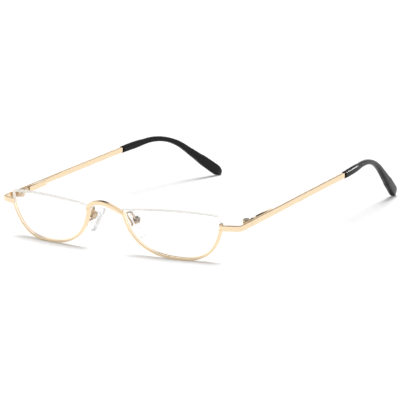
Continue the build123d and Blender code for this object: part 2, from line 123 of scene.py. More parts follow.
class StudioSizes(bpy.types.PropertyGroup):
    """Camera and floor of the stage."""
    azimuth: angle("Azimuth", "Turn of the camera to the wearer's left of straight in front", 36.5607)
    elevation: angle("Elevation", "Height of the camera above the table, as an angle", 12.6009)
    roll: angle("Roll", "Turn of the camera about its view", -1.9691)
    camera_x: length("Camera X", "Place of the camera", 696.2275)
    camera_y: length("Camera Y", "Place of the camera", -945.3865)
    camera_z: length("Camera Z", "Place of the camera", 270.8151)
    focal: FloatProperty(name="Focal length", description="Focal length in millimetres", default=240.7356)
    floor_size: length("Floor size", "Side of the square floor", 6000)


class Finishes(bpy.types.PropertyGroup):
    """Colours of the finishes."""
    gold: colour("Gold plating", "Pale champagne gold of the frame", (0.97, 0.775, 0.53))
    # Browner, darker tone of the pad arms, pad boxes and line blocks: painted shade on these small pieces
    aged: colour("Browner plating", "Plating of pad arms, pad boxes and line blocks", (0.74, 0.56, 0.37))
    steel: colour("Steel", "Turned steel of screws and springs", (0.66, 0.62, 0.57))
    black: colour("Black", "Black of the temple tips", (0.004, 0.004, 0.0045))
    clear: colour("Clear", "Tint of lens and line", (0.985, 0.99, 0.99))
    # Grey of the lens edge's upward and downward faces; the change of tone with facing is painted light and
    # shade
    ground: colour("Ground edge", "Ground top edge of the lens", (0.70, 0.67, 0.625))
    pad: colour("Pad", "Tint of the soft pads", (0.90, 0.90, 0.92))
    floor: colour("Floor", "Paper under the glasses", (0.80, 0.80, 0.80))


def lens_sizes():
    """The scene's lens sizes."""
    return bpy.context.scene.glasses_lens


def temple_sizes():
    """The scene's temple sizes."""
    return bpy.context.scene.glasses_temple


def finishes():
    """The scene's finish colours."""
    return bpy.context.scene.glasses_finish


# Places: each piece is shaped in a plane of its own and set into the frame by a matrix

# The left end piece, from the lens's outer corner, and its run to its own corner
STRAP_START = Vector((-1.3, -5.15, -0.16)) * MM
STRAP_RUN = Vector((8.7, 2.9, 0.1)) * MM


def rest_matrix():
    """From the upright making place to the place on the table."""
    s = lens_sizes()
    shift = Matrix.Translation((0, -s.back_shift, s.up_shift))
    return shift @ Matrix.Rotation(-s.rest, 4, "X")


def lens_matrix():
    """The left lens's plane: x outward, y up, z to the front, from the nasal corner."""
    s = lens_sizes()
    place = Matrix.Translation((s.bridge / 2, 0, s.top_height))
    upright = Matrix.Rotation(s.wrap, 4, "Z") @ Matrix.Rotation(math.pi / 2, 4, "X")
    return rest_matrix() @ place @ Matrix.Rotation(s.tilt, 4, "X") @ upright


def front_matrix():
    """The plane of the whole front: x to the wearer's left, y up, z to the front."""
    s = lens_sizes()
    turn = Matrix.Rotation(s.tilt, 4, "X") @ Matrix.Rotation(math.pi / 2, 4, "X")
    return rest_matrix() @ Matrix.Translation((0, 0, s.top_height)) @ turn


def strap_points():
    """The start and the corner of the left end piece's middle line, in the making place."""
    s = lens_sizes()
    start = rest_matrix().inverted() @ lens_matrix() @ (Vector((s.width, 0, 0)) + STRAP_START)
    return start, start + STRAP_RUN


def temple_turn():
    """The turn of the left temple: x outward, y back along the bar, z up along the pin."""
    s = temple_sizes()
    return Matrix.Rotation(s.lean, 4, "Z") @ Matrix.Rotation(s.rise, 4, "X")


def seam_point():
    """The middle of the seam between end piece and temple, in the making place."""
    return strap_points()[1] + temple_turn() @ Vector((0, temple_sizes().return_length, 0))


def temple_matrix():
    """The left temple's place."""
    return rest_matrix() @ Matrix.Translation(seam_point()) @ temple_turn()


# Meshes

# How much smaller some drawn pieces are than their solids, so that they stay inside them
INSIDE = 0.03 * MM

# How far the edges of pieces made of their own solids are eased
SMALL_EDGE = 0.08 * MM
SLIDER_EDGE = 0.10 * MM
BLOCK_EDGE = 0.12 * MM
KNUCKLE_EDGE = 0.14 * MM


def even_curve(points, count):
    """Points on a smooth natural curve through the given points, at even steps of its parameter."""
    sizes = [max((b - a).length, 1e-9) for a, b in zip(points, points[1:])]
    last = len(points) - 1
    slopes = [(b - a) / h for a, b, h in zip(points, points[1:], sizes)]
    upper = [0.0] * (last + 1)
    bends = [Vector((0, 0, 0)) for _ in points]
    for i in range(1, last):
        scale = 2 * (sizes[i - 1] + sizes[i]) - sizes[i - 1] * upper[i - 1]
        upper[i] = sizes[i] / scale
        bends[i] = ((slopes[i] - slopes[i - 1]) * 6 - bends[i - 1] * sizes[i - 1]) / scale
    for i in range(last - 1, 0, -1):
        bends[i] = bends[i] - bends[i + 1] * upper[i]
    starts = [0.0]
    for h in sizes:
        starts.append(starts[-1] + h)
    found = []
    for step in range(count + 1):
        place = starts[-1] * step / count
        i = min(max(sum(1 for t in starts if t <= place) - 1, 0), last - 1)
        h = sizes[i]
        a = (starts[i + 1] - place) / h
        b = 1 - a
        curved = ((a ** 3 - a) * bends[i] + (b ** 3 - b) * bends[i + 1]) * h * h / 6
        found.append(a * points[i] + b * points[i + 1] + curved)
    return found


def skin(rings):
    """Vertices and faces of a closed tube through rings that all have the same number of points."""
    vertices = [point for ring in rings for point in ring]
    size = len(rings[0])
    faces = []
    for row in range(len(rings) - 1):
        for i in range(size):
            j = (i + 1) % size
            faces.append((row * size + i, row * size + j, (row + 1) * size + j, (row + 1) * size + i))
    faces.append(tuple(reversed(range(size))))
    start = (len(rings) - 1) * size
    faces.append(tuple(range(start, start + size)))
    return vertices, faces


def mesh_of(vertices, faces, edges=()):
    """A new mesh from points and faces."""
    mesh = bpy.data.meshes.new("shape")
    mesh.from_pydata([tuple(v) for v in vertices], list(edges), faces)
    return mesh


def piece_from(name, mesh, side, matrix, surface, body, node, sharp=35, others=()):
    """Sets a mesh made for the left side into the frame, on its own side.

    The others are pairs of a finish and the faces that have it in place of the piece's own.
    """
    shape = bmesh.new()
    shape.from_mesh(mesh)
    shape.faces.ensure_lookup_table()
    for number, (_, places) in enumerate(others):
        for index in places:
            shape.faces[index].material_index = number + 1
    shape.transform(matrix)
    if side == "right":
        shape.transform(Matrix.Diagonal((-1, 1, 1, 1)))
    bmesh.ops.remove_doubles(shape, verts=shape.verts, dist=1e-7)
    bmesh.ops.recalc_face_normals(shape, faces=shape.faces)
    shape.to_mesh(mesh)
    shape.free()
    mesh.name = name
    finish_of = [face.material_index for face in mesh.polygons]
    mesh.materials.clear()
    mesh.materials.append(surface)
    for other, _ in others:
        mesh.materials.append(other)
    mesh.polygons.foreach_set("use_smooth", [True] * len(mesh.polygons))
    mesh.polygons.foreach_set("material_index", finish_of)
    mesh.set_sharp_from_angle(angle=math.radians(sharp))
    piece = bpy.data.objects.new(name, mesh)
    bpy.context.scene.collection.objects.link(piece)
    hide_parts(node)
    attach(piece, body)
    return piece


def maker_of(mesh):
    """A passing object that shapes a mesh with a modifier."""
    maker = bpy.data.objects.new("maker", mesh)
    bpy.context.scene.collection.objects.link(maker)
    return maker


def made_by(maker):
    """The plain mesh that a passing object's modifier makes; the object is removed."""
    made = bpy.data.meshes.new_from_object(maker.evaluated_get(bpy.context.evaluated_depsgraph_get()))
    bpy.data.objects.remove(maker)
    return made


def eased_copy(node, width):
    """A copy of a solid's mesh with its doubles merged, flat faces joined and sharp edges eased."""
    shape = bmesh.new()
    shape.from_mesh(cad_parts[node].data)
    bmesh.ops.remove_doubles(shape, verts=shape.verts, dist=2e-6)
    bmesh.ops.dissolve_limit(shape, angle_limit=math.radians(1), verts=shape.verts, edges=shape.edges)
    mesh = bpy.data.meshes.new(node + "_copy")
    shape.to_mesh(mesh)
    shape.free()
    maker = maker_of(mesh)
    bevel = maker.modifiers.new("eased edges", "BEVEL")
    bevel.width = width
    bevel.segments = 2
    bevel.limit_method = "ANGLE"
    bevel.angle_limit = math.radians(30)
    bevel.use_clamp_overlap = True
    bevel.harden_normals = False
    return made_by(maker)


def dress_solid(side, node, name, surface, body, width):
    """A piece made of its own solid, with its edges eased by a width."""
    copy = eased_copy(f"{side}_{node}", width)
    piece_from(f"{side}_{name}", copy, "left", Matrix(), finish(surface), body, f"{side}_{node}")


# Node trees

class Wire:
    """A socket of a node tree that can be written in sums and products."""

    def __init__(self, nodes, socket):
        self.nodes = nodes
        self.socket = socket

    def math(self, operation, first, second):
        """A Math node on two values or wires."""
        return self.nodes.wire("ShaderNodeMath", {"operation": operation}, {0: first, 1: second})

    def __add__(self, other):
        return self.math("ADD", self, other)

    __radd__ = __add__

    def __mul__(self, other):
        return self.math("MULTIPLY", self, other)

    __rmul__ = __mul__

    def __sub__(self, other):
        return self.math("SUBTRACT", self, other)

    def __rsub__(self, other):
        return self.math("SUBTRACT", other, self)


class Nodes:
    """What drawing trees and shader trees share: each sets its own tree, and these methods fill it."""

    def node(self, kind, settings=None, inputs=None):
        """A node of a type, its settings first, then the values or links of its sockets."""
        made = self.tree.nodes.new(kind)
        for name, value in (settings or {}).items():
            if name == "stops":
                ramp = made.color_ramp
                while len(ramp.elements) < len(value):
                    ramp.elements.new(0.5)
                for element, (place, tint) in zip(ramp.elements, value):
                    element.position = place
                    element.color = tint
            else:
                setattr(made, name, value)
        for key, value in (inputs or {}).items():
            if isinstance(value, Wire):
                value = value.socket
            if isinstance(value, bpy.types.NodeSocket):
                self.tree.links.new(value, made.inputs[key])
            else:
                made.inputs[key].default_value = value
        return made

    def wire(self, kind, settings=None, inputs=None, output=0):
        """One output of a new node, as a wire."""
        return Wire(self, self.node(kind, settings, inputs).outputs[output])


class Sweeper(Nodes):
    """A node tree that draws a rounded strap along a line, or a round wire if its height is zero."""

    def __init__(self):
        self.tree = bpy.data.node_groups.new("strap along a line", "GeometryNodeTree")
        face = self.tree.interface
        face.new_socket("Geometry", in_out="INPUT", socket_type="NodeSocketGeometry")
        self.keys = {}
        for name in ("Width", "Height", "Rounding"):
            socket = face.new_socket(name, in_out="INPUT", socket_type="NodeSocketFloat")
            socket.min_value = 0
            self.keys[name] = socket.identifier
        socket = face.new_socket("Material", in_out="INPUT", socket_type="NodeSocketMaterial")
        self.keys["Material"] = socket.identifier
        face.new_socket("Geometry", in_out="OUTPUT", socket_type="NodeSocketGeometry")
        start = self.node("NodeGroupInput").outputs
        line = self.wire("GeometryNodeMeshToCurve", {}, {0: start["Geometry"]})
        upright = self.wire("GeometryNodeSetCurveNormal", {"mode": "Z_UP"}, {"Curve": line})
        plate = self.wire("GeometryNodeCurvePrimitiveQuadrilateral", {"mode": "RECTANGLE"},
                          {"Width": start["Width"], "Height": start["Height"]})
        rounded = self.wire("GeometryNodeFilletCurve", {"mode": "POLY"},
                            {"Curve": plate, "Count": 5, "Radius": start["Rounding"], "Limit Radius": True})
        wire = self.wire("GeometryNodeCurvePrimitiveCircle", {"mode": "RADIUS"},
                         {"Resolution": 20, "Radius": start["Width"]})
        flat = self.wire("FunctionNodeCompare", {"data_type": "FLOAT", "operation": "GREATER_THAN"},
                         {"A": start["Height"], "B": 0.0})
        profile = self.wire("GeometryNodeSwitch", {"input_type": "GEOMETRY"},
                            {"Switch": flat, "False": wire, "True": rounded})
        drawn = self.wire("GeometryNodeCurveToMesh", {},
                          {"Curve": upright, "Profile Curve": profile, "Fill Caps": True})
        real = self.wire("GeometryNodeRealizeInstances", {}, {0: drawn})
        painted = self.wire("GeometryNodeSetMaterial", {},
                            {"Geometry": real, "Material": start["Material"]})
        self.node("NodeGroupOutput", {}, {"Geometry": painted})

    def draw(self, points, width, height, rounding, surface):
        """A plain mesh drawn along the points; with no height it is a wire of that radius."""
        maker = maker_of(mesh_of(points, [], [(i, i + 1) for i in range(len(points) - 1)]))
        modifier = maker.modifiers.new("draw", "NODES")
        modifier.node_group = self.tree
        values = {"Width": width, "Height": height, "Rounding": rounding, "Material": surface}
        for name, value in values.items():
            modifier[self.keys[name]] = value
        return made_by(maker)


def drawn_piece(side, name, node, line, sizes, matrix, surface, body):
    """A piece drawn along a line; the sizes are a strap's width, height and rounding, or a wire's radius."""
    mesh = SWEEPER.draw(line, *sizes, finish(surface))
    piece_from(f"{side}_{name}", mesh, side, matrix, finish(surface), body, f"{side}_{node}")


# Finishes

class Finish(Nodes):
    """The node tree of a material or a world, written as expressions."""

    def __init__(self, holder):
        self.holder = holder
        holder.use_nodes = True
        self.tree = holder.node_tree
        self.tree.nodes.clear()
        self.place = self.wire("ShaderNodeTexCoord", output="Object")

    def noise(self, scale, detail=3.0, stretch=None):
        """Noise on the object's own place, in cells per metre, stretched along an axis if asked."""
        place = self.place
        if stretch:
            place = self.wire("ShaderNodeMapping", {}, {"Vector": self.place, "Scale": stretch})
        return self.wire("ShaderNodeTexNoise", {}, {"Vector": place, "Scale": scale, "Detail": detail})

    def blend(self, factor, first, second):
        """A colour between two colours."""
        made = self.node("ShaderNodeMix", {"data_type": "RGBA"}, {"Factor": factor})
        for key, value in ((6, first), (7, second)):
            if isinstance(value, Wire):
                self.tree.links.new(value.socket, made.inputs[key])
            else:
                made.inputs[key].default_value = (*value, 1)
        return Wire(self, made.outputs[2])

    def bump(self, height, strength, distance):
        """A bumped normal."""
        values = {"Height": height, "Strength": strength, "Distance": distance}
        return self.wire("ShaderNodeBump", {}, values)

    def surface(self, **sockets):
        """The principled shader with its sockets, given with _ for spaces."""
        named = {key.replace("_", " "): value for key, value in sockets.items()}
        return self.wire("ShaderNodeBsdfPrincipled", {}, named)

    def out(self, shader):
        """Sends a shader to the material's output."""
        self.node("ShaderNodeOutputMaterial", {}, {"Surface": shader})
        return self.holder

    def mix(self, factor, first, second):
        """A shader between two shaders."""
        return self.wire("ShaderNodeMixShader", {}, {0: factor, 1: first, 2: second})

    def clear(self, shader, clearness, in_shadow):
        """A shader that lets a share of light straight through, and another share where shadows are made."""
        shadow = self.wire("ShaderNodeLightPath", output="Is Shadow Ray")
        gap = self.wire("ShaderNodeBsdfTransparent", {}, {"Color": (1, 1, 1, 1)})
        return self.out(self.mix(shadow * (in_shadow - clearness) + clearness, shader, gap))


def material(name):
    """A new material, ready for its expressions."""
    return Finish(bpy.data.materials.new(name))


def plated_gold():
    """Polished pale gold plating, with a faint unevenness and a slightly duller haze in places."""
    f = material("polished pale gold plating")
    tint = finishes().gold
    haze = f.noise(260, 4)
    fine = f.noise(5200, 2)
    base = f.blend(haze * 0.5, tint, [c * 0.95 for c in tint])
    normal = f.bump(fine, 0.03, 0.00004)
    roughness = haze * 0.05 + fine * 0.03 + 0.055
    return f.out(f.surface(Base_Color=base, Metallic=1.0, Roughness=roughness, Normal=normal))


def grained_gold(name, light, dark):
    """The plating over brazed and cast small pieces, a little softer, with darker patches laid by a noise,
    which on the pad arms, pad boxes and line blocks are painted shade.
    """
    f = material(name)
    grain = f.noise(1900, 5)
    # Darker patches laid by a noise; on the pad arms, pad boxes and line blocks they are painted shade
    base = f.blend((grain - 0.56) * 6 + 0.5, light, dark)
    normal = f.bump(grain, 0.10, 0.00008)
    return f.out(f.surface(Base_Color=base, Metallic=1.0, Roughness=grain * 0.14 + 0.12, Normal=normal))


def brazed_gold():
    """The plating of the hinge pieces."""
    tint = finishes().gold
    return grained_gold("plated hinge pieces", [c * 0.88 for c in tint], [c * 0.42 for c in tint])


def shaded_brown_gold():
    """The browner plating of the pad arms, pad boxes and line blocks, whose darker tone and dark patches are
    painted shade on these small pieces.
    """
    tint = finishes().aged
    # Very dark patches in the browner tint: painted shade
    return grained_gold("browner plated small pieces", tint, [c * 0.16 for c in tint])


def turned_steel():
    """Bright turned steel with fine lathe rings."""
    f = material("bright turned steel")
    tint = finishes().steel
    rings = f.noise(900, 3, stretch=(1, 1, 14))
    base = f.blend(rings, [c * 0.82 for c in tint], tint)
    normal = f.bump(rings, 0.12, 0.00005)
    return f.out(f.surface(Base_Color=base, Metallic=1.0, Roughness=rings * 0.16 + 0.18, Normal=normal))


def black_acetate():
    """Polished black plastic with the faint ripple and hairlines that handling leaves."""
    f = material("polished black acetate")
    tint = finishes().black
    ripple = f.noise(170, 2)
    hairs = f.noise(2400, 3, stretch=(1, 0.12, 1))
    base = f.blend(ripple, tint, [c * 1.7 + 0.001 for c in tint])
    normal = f.bump(ripple + hairs * 0.12, 0.08, 0.0002)
    roughness = hairs * 0.06 + ripple * 0.03 + 0.05
    return f.out(f.surface(Base_Color=base, Roughness=roughness, Normal=normal, IOR=1.47,
                           Specular_IOR_Level=0.22))


def clear_lens():
    """Clear polished lens plastic."""
    f = material("clear lens")
    smear = f.noise(90, 2)
    tint = (*finishes().clear, 1)
    shader = f.surface(Base_Color=tint, Roughness=smear * 0.012, IOR=1.5, Transmission_Weight=1.0)
    return f.clear(shader, 0.92, 0.25)


def ground_edge():
    """The fine ground edge of the lens, paler where it faces sideways and greyer where it faces up and down,
    light and shade painted by the way each face points, with a painted glow on its sideways faces.
    """
    f = material("ground lens edge")
    grain = f.noise(2600, 3)
    split = f.node("ShaderNodeSeparateXYZ", {}, {0: f.wire("ShaderNodeNewGeometry", output="Normal")})
    height = Wire(f, split.outputs["Z"])
    upper = height * height
    # Painted light and shade: paler sideways faces, greyer upward and downward faces
    base = f.blend(upper, (0.95, 0.94, 0.92), finishes().ground)
    base = f.blend(grain * 0.3, base, [c * 0.9 for c in finishes().ground])
    normal = f.bump(grain, 0.2, 0.00005)
    # Painted glow on the faces that point sideways
    glow = f.blend(upper * 4, (0.45, 0.44, 0.42), (0, 0, 0))
    shader = f.surface(Base_Color=base, Roughness=grain * 0.2 + 0.35, IOR=1.5, Transmission_Weight=0.15,
                       Normal=normal, Emission_Color=glow, Emission_Strength=1.0)
    return f.clear(shader, 0.60 - upper * 0.50, 0.05)


def seated_edge():
    """The ground edge of the lens where the rim holds it, pale, with a painted glow that stands in for light
    carried inside the lens.
    """
    f = material("seated lens edge")
    grain = f.noise(2600, 3)
    base = f.blend(grain, (0.86, 0.84, 0.80), (0.80, 0.78, 0.74))
    # Painted glow standing in for light carried inside the lens
    glow = (1.0, 0.97, 0.91, 1)
    shader = f.surface(Base_Color=base, Roughness=0.5, IOR=1.5, Emission_Color=glow, Emission_Strength=0.7)
    return f.clear(shader, 0.10, 0.05)


def nylon():
    """Clear drawn nylon."""
    f = material("clear nylon line")
    draw = f.noise(700, 2)
    tint = (*finishes().clear, 1)
    shader = f.surface(Base_Color=tint, Roughness=draw * 0.08 + 0.08, IOR=1.45, Transmission_Weight=0.6)
    return f.clear(shader, 0.55, 0.85)


def soft_pad():
    """Clear soft pad plastic, slightly cloudy."""
    f = material("clear soft pad")
    cloud = f.noise(420, 4)
    tint = finishes().pad
    base = f.blend(cloud, tint, [c * 0.965 for c in tint])
    normal = f.bump(cloud, 0.05, 0.0001)
    shader = f.surface(Base_Color=base, Roughness=cloud * 0.12 + 0.05, IOR=1.41, Transmission_Weight=0.85,
                       Normal=normal)
    return f.clear(shader, 0.37, 0.60)


def frosted():
    """Frosted clear plastic of the pad's insert."""
    f = material("frosted insert")
    grain = f.noise(3000, 3)
    tint = (0.92, 0.92, 0.91, 1)
    shader = f.surface(Base_Color=tint, Roughness=grain * 0.2 + 0.3, IOR=1.45, Transmission_Weight=0.6)
    return f.clear(shader, 0.80, 0.75)


def studio_paper():
    """White paper that keeps a soft shadow, a little brighter to the camera, in gloss and through glass."""
    f = material("white studio paper")
    light = f.node("ShaderNodeLightPath")
    seen = Wire(f, light.outputs["Is Camera Ray"])
    through = Wire(f, light.outputs["Is Transmission Ray"])
    gloss = Wire(f, light.outputs["Is Glossy Ray"])
    glow = seen * 0.25 + through * 0.25 + gloss * 0.12
    grain = f.noise(60, 2)
    base = f.blend(grain * 0.3, finishes().floor, [c * 0.99 for c in finishes().floor])
    return f.out(f.surface(Base_Color=base, Roughness=0.9, Specular_IOR_Level=0.0,
                           Emission_Color=(1, 1, 1, 1), Emission_Strength=glow))


MAKERS = {
    "gold": plated_gold, "brazed": brazed_gold, "aged": shaded_brown_gold, "steel": turned_steel,
    "black": black_acetate, "lens": clear_lens, "edge": ground_edge, "seat": seated_edge,
    "nylon": nylon, "pad": soft_pad, "insert": frosted, "paper": studio_paper,
}
MADE = {}


def finish(name):
    """A finish by its short name, made once."""
    if name not in MADE:
        MADE[name] = MAKERS[name]()
    return MADE[name]


# The front

# The lower edge of the lens from its outer to its nasal corner, as shares of its width and depth
LENS_SHARES = [
    (1, 0), (0.953, 0.464), (0.839, 0.839), (0.666, 0.994), (0.5, 0.994),
    (0.343, 0.938), (0.186, 0.777), (0.062, 0.449), (0, 0),
]

# Ends of the half rims, and of the lens's ridge inside them, below the lens corners
RIM_OUTER_END = 5.5 * MM
RIM_NASAL_END = 0.75 * MM
RIDGE_OUTER_END = 5.3 * MM
RIDGE_NASAL_END = 0.9 * MM


def ball_height(u, v, radius, centre):
    """The height over the lens plane of a ball that is centred behind the lens's optical centre."""
    s = lens_sizes()
    return centre + math.sqrt(radius ** 2 - (u - s.width / 2) ** 2 - (v + s.centre_drop) ** 2)


def front_centre():
    """The height of the centre of the lens's front surface, which passes through the lens corners."""
    s = lens_sizes()
    return -math.sqrt(s.front_radius ** 2 - (s.width / 2) ** 2 - s.centre_drop ** 2)


def front_drop(u, v, depth=0.0):
    """The height in the lens plane of the ball that lies at a depth behind the lens's front."""
    return ball_height(u, v, lens_sizes().front_radius - depth, front_centre())


def back_drop(u, v):
    """The height in the lens plane of the lens's back surface."""
    s = lens_sizes()
    centre = s.front_radius + front_centre() - s.thickness - s.back_radius
    return ball_height(u, v, s.back_radius, centre)


def top_edge(u):
    """The height of the arched top edge of the lens above its corners."""
    s = lens_sizes()
    radius = ((s.width / 2) ** 2 + s.crown ** 2) / (2 * s.crown)
    return s.crown - radius + math.sqrt(radius ** 2 - (u - s.width / 2) ** 2)


def lower_edge(grow, count=120):
    """The lower edge of the lens from its outer to its nasal corner, moved outward by a length."""
    s = lens_sizes()
    line = even_curve([Vector((u * s.width, -v * s.depth, 0)) for u, v in LENS_SHARES], count)
    moved = []
    for i, point in enumerate(line):
        along = (line[min(i + 1, count)] - line[max(i - 1, 0)]).normalized()
        moved.append(point + Vector((-along.y, along.x, 0)) * grow)
    return moved


class GLASSES_OT_rims(bpy.types.Operator):
    """Draws the two half rims along the lower edges of the lenses"""
    bl_idname = "glasses.rims"
    bl_label = "Half rims"

    def execute(self, context):
        s = lens_sizes()
        line = []
        for p in lower_edge(s.rim_offset):
            end = RIM_OUTER_END if p.x > s.width / 2 else RIM_NASAL_END
            if p.y < -end:
                line.append(Vector((p.x, p.y, front_drop(p.x, p.y, s.rim_back))))
        for side in SIDES:
            drawn_piece(side, "rim_strip", "half_rim", line, (s.rim_width, s.rim_depth, s.rim_round),
                        lens_matrix(), "gold", "front")
        return {"FINISHED"}


def rounded_ring(width, height, rounding, count=5):
    """The points of a rounded rectangle in the XY plane; its rounding stays under half of either side."""
    points = []
    rounding = min(rounding, width / 2.02, height / 2.02)
    for cx, cy, start in ((1, 1, 0), (-1, 1, 90), (-1, -1, 180), (1, -1, 270)):
        for step in range(count + 1):
            turn = math.radians(start + 90 * step / count)
            x = cx * (width / 2 - rounding) + rounding * math.cos(turn)
            y = cy * (height / 2 - rounding) + rounding * math.sin(turn)
            points.append(Vector((x, y, 0)))
    return points


def across(point, along, side):
    """A matrix whose x axis lies as near as it can to a side direction and whose z axis runs along a path."""
    along = along.normalized()
    flat = (side - along * side.dot(along)).normalized()
    other = along.cross(flat)
    turn = Matrix((flat, other, along)).transposed().to_4x4()
    return Matrix.Translation(point) @ turn


# The bridge's feet on the rims, and points of its arch from foot to crest, as shares of the way out, down
# and back from the crest to a foot
FOOT_DROP = 1.1 * MM
FOOT_FORWARD = 0.1 * MM
FOOT_SUNK = 0.6 * MM
FOOT_DEPTH = 2.2 * MM
FOOT_HEIGHT = 1.15 * MM
FOOT_BLEND_SHARE = 0.4
BRIDGE_ROUND = 0.25 * MM
BRIDGE_STEPS = 72
ARCH_SHARES = ((0.85, 0.70, 0.56), (0.6, 0.32, 0.16), (0.3, 0.07, 0.02))


class GLASSES_OT_bridge(bpy.types.Operator):
    """Lofts the saddle bridge out of both nasal rim ends"""
    bl_idname = "glasses.bridge"
    bl_label = "Bridge"

    def arch(self):
        """Even points along the bridge's middle line, from one sunk foot to the other."""
        s = lens_sizes()
        foot = lens_matrix() @ Vector((-s.rim_offset, -FOOT_DROP, FOOT_FORWARD))
        foot = front_matrix().inverted() @ foot
        crest = Vector((0, s.bridge_rise, s.bridge_reach))
        span = foot - crest
        half = [foot]
        for out, down, back in ARCH_SHARES:
            half.append(crest + Vector((span.x * out, span.y * down, span.z * back)))
        rising = (half[1] - foot).normalized()
        half = [foot - rising * FOOT_SUNK] + half
        return even_curve(half + [crest] + [Vector((-p.x, p.y, p.z)) for p in reversed(half)], BRIDGE_STEPS)

    def execute(self, context):
        s = lens_sizes()
        path = self.arch()
        rings = []
        for i, point in enumerate(path):
            along = path[min(i + 1, BRIDGE_STEPS)] - path[max(i - 1, 0)]
            from_foot = min(i, BRIDGE_STEPS - i) / (BRIDGE_STEPS / 2)
            end = max(0, 1 - from_foot / FOOT_BLEND_SHARE)
            ease = end * end * (3 - 2 * end)
            deep = s.bridge_depth + (FOOT_DEPTH - s.bridge_depth) * ease - INSIDE
            high = s.bridge_height + (FOOT_HEIGHT - s.bridge_height) * ease
            place = across(point, along, Vector((0, 0, -1)))
            rings.append([place @ p for p in rounded_ring(deep, high, BRIDGE_ROUND)])
        mesh = mesh_of(*skin(rings))
        piece_from("saddle_bridge", mesh, "left", front_matrix(), finish("gold"), "front", "bridge")
        return {"FINISHED"}


# The lens: the rings of its faces as shares of its outline, and the rows of its edge with their depth
# behind the front in millimetres and the shares of the ridge's height and of the groove's depth there
FACE_SHARES = (0.04, 0.12, 0.22, 0.34, 0.46, 0.58, 0.70, 0.80, 0.88, 0.94, 0.975, 0.993)
EDGE_ROWS = ((0.5, 0, 0), (0.58, 0.86, 0), (0.85, 1, 1), (1.12, 0.86, 0), (1.2, 0, 0))
EDGE_BEVEL = 0.12 * MM
LOWER_STEPS, TOP_STEPS = 110, 70
CORNER_PASSES = 6
CORNER_TURN = math.radians(12)
LINE_GROOVE = 0.4 * MM
LENS_MIDDLE_SHARE = 0.45


class GLASSES_OT_lenses(bpy.types.Operator):
    """Grinds the two half moon lenses with their edge ridge and groove"""
    bl_idname = "glasses.lenses"
    bl_label = "Lenses"

    def rounded(self, loop):
        """An outline whose sharp corners are rounded a little by each of a few passes."""
        for _ in range(CORNER_PASSES):
            smooth = []
            for i, point in enumerate(loop):
                a, b = loop[i - 1], loop[(i + 1) % len(loop)]
                sharp = (point - a).angle(b - point) > CORNER_TURN
                smooth.append(point.lerp((a + b) / 2, 0.5) if sharp else point)
            loop = smooth
        return loop

    def outline(self):
        """Points round the body of the lens, each with its outward way and whether the rim holds it."""
        s = lens_sizes()
        lower = lower_edge(-s.edge_inset, LOWER_STEPS)
        top = []
        for step in range(1, TOP_STEPS):
            x = lower[-1].x + (lower[0].x - lower[-1].x) * step / TOP_STEPS
            top.append(Vector((x, top_edge(x), 0)))
        loop = self.rounded(lower + top)
        found = []
        for i, point in enumerate(loop):
            along = (loop[(i + 1) % len(loop)] - loop[i - 1]).normalized()
            above_ridge = point.x > s.width / 2 and point.y > -RIDGE_OUTER_END
            held = i < len(lower) and not above_ridge and point.y < -RIDGE_NASAL_END
            found.append((point, Vector((-along.y, along.x, 0)), held))
        return found

    def execute(self, context):
        s = lens_sizes()
        edge = self.outline()
        centre = Vector((s.width / 2, -s.depth * LENS_MIDDLE_SHARE, 0))

        def face_ring(share, height):
            inner = [centre + (point - centre) * share for point, _, _ in edge]
            return [Vector((p.x, p.y, height(p.x, p.y))) for p in inner]

        def edge_ring(height, ridge=0, groove=0):
            ring = []
            for point, out, held in edge:
                z = height(front_drop(point.x, point.y), back_drop(point.x, point.y))
                p = point + out * (s.edge_inset * ridge if held else -LINE_GROOVE * groove)
                ring.append(Vector((p.x, p.y, z)))
            return ring

        rings = [face_ring(share, front_drop) for share in FACE_SHARES]
        rings.append(edge_ring(lambda high, low: high - EDGE_BEVEL))
        for row, ridge, groove in EDGE_ROWS:
            rings.append(edge_ring(lambda high, low: max(high - row * MM, low + EDGE_BEVEL * 1.5),
                                   ridge, groove))
        rings.append(edge_ring(lambda high, low: low + EDGE_BEVEL))
        rings += [face_ring(share, back_drop) for share in reversed(FACE_SHARES)]
        front_end = len(FACE_SHARES)
        back_start = front_end + len(EDGE_ROWS) + 2

        def faces(first, held):
            return [row * len(edge) + i for row in range(first, back_start)
                    for i in range(len(edge)) if edge[i][2] == held]

        others = [(finish("edge"), faces(front_end - 3, False)), (finish("seat"), faces(front_end - 1, True))]
        for side in SIDES:
            mesh = mesh_of(*skin(rings))
            piece_from(f"{side}_half_moon_lens", mesh, side, lens_matrix(), finish("lens"), "front",
                       f"{side}_lens", sharp=28, others=others)
        return {"FINISHED"}


# The nylon line in its groove: its depth below the top and outer edges and behind the front, its start
# beside the nasal corner, its corner, and its last two points below the lens corners
LINE_SUNK = 0.28 * MM
LINE_BEHIND = 0.85 * MM
LINE_START = -0.5 * MM
LINE_CORNER = 1.3 * MM
LINE_ENDS = (2.2 * MM, 3.0 * MM)


class GLASSES_OT_lines(bpy.types.Operator):
    """Strings the nylon lines over the top edges of the lenses"""
    bl_idname = "glasses.lines"
    bl_label = "Nylon lines"

    def execute(self, context):
        s = lens_sizes()
        side_x = s.width - s.edge_inset - LINE_SUNK
        turn_x = side_x - LINE_CORNER
        line = []
        for step in range(61):
            x = LINE_START + (turn_x - LINE_START) * step / 60
            line.append(Vector((x, top_edge(x) - LINE_SUNK, 0)))
        corner = Vector((turn_x, line[-1].y - LINE_CORNER, 0))
        for step in range(1, 9):
            turn = math.radians(90 - 90 * step / 8)
            line.append(corner + Vector((math.cos(turn), math.sin(turn), 0)) * LINE_CORNER)
        line += [Vector((side_x, -end, 0)) for end in LINE_ENDS]
        line = [Vector((p.x, p.y, front_drop(p.x, p.y, LINE_BEHIND))) for p in line]
        for side in SIDES:
            drawn_piece(side, "nylon_line", "lens_line", line, (s.line_radius, 0, 0), lens_matrix(),
                        "nylon", "front")
        return {"FINISHED"}


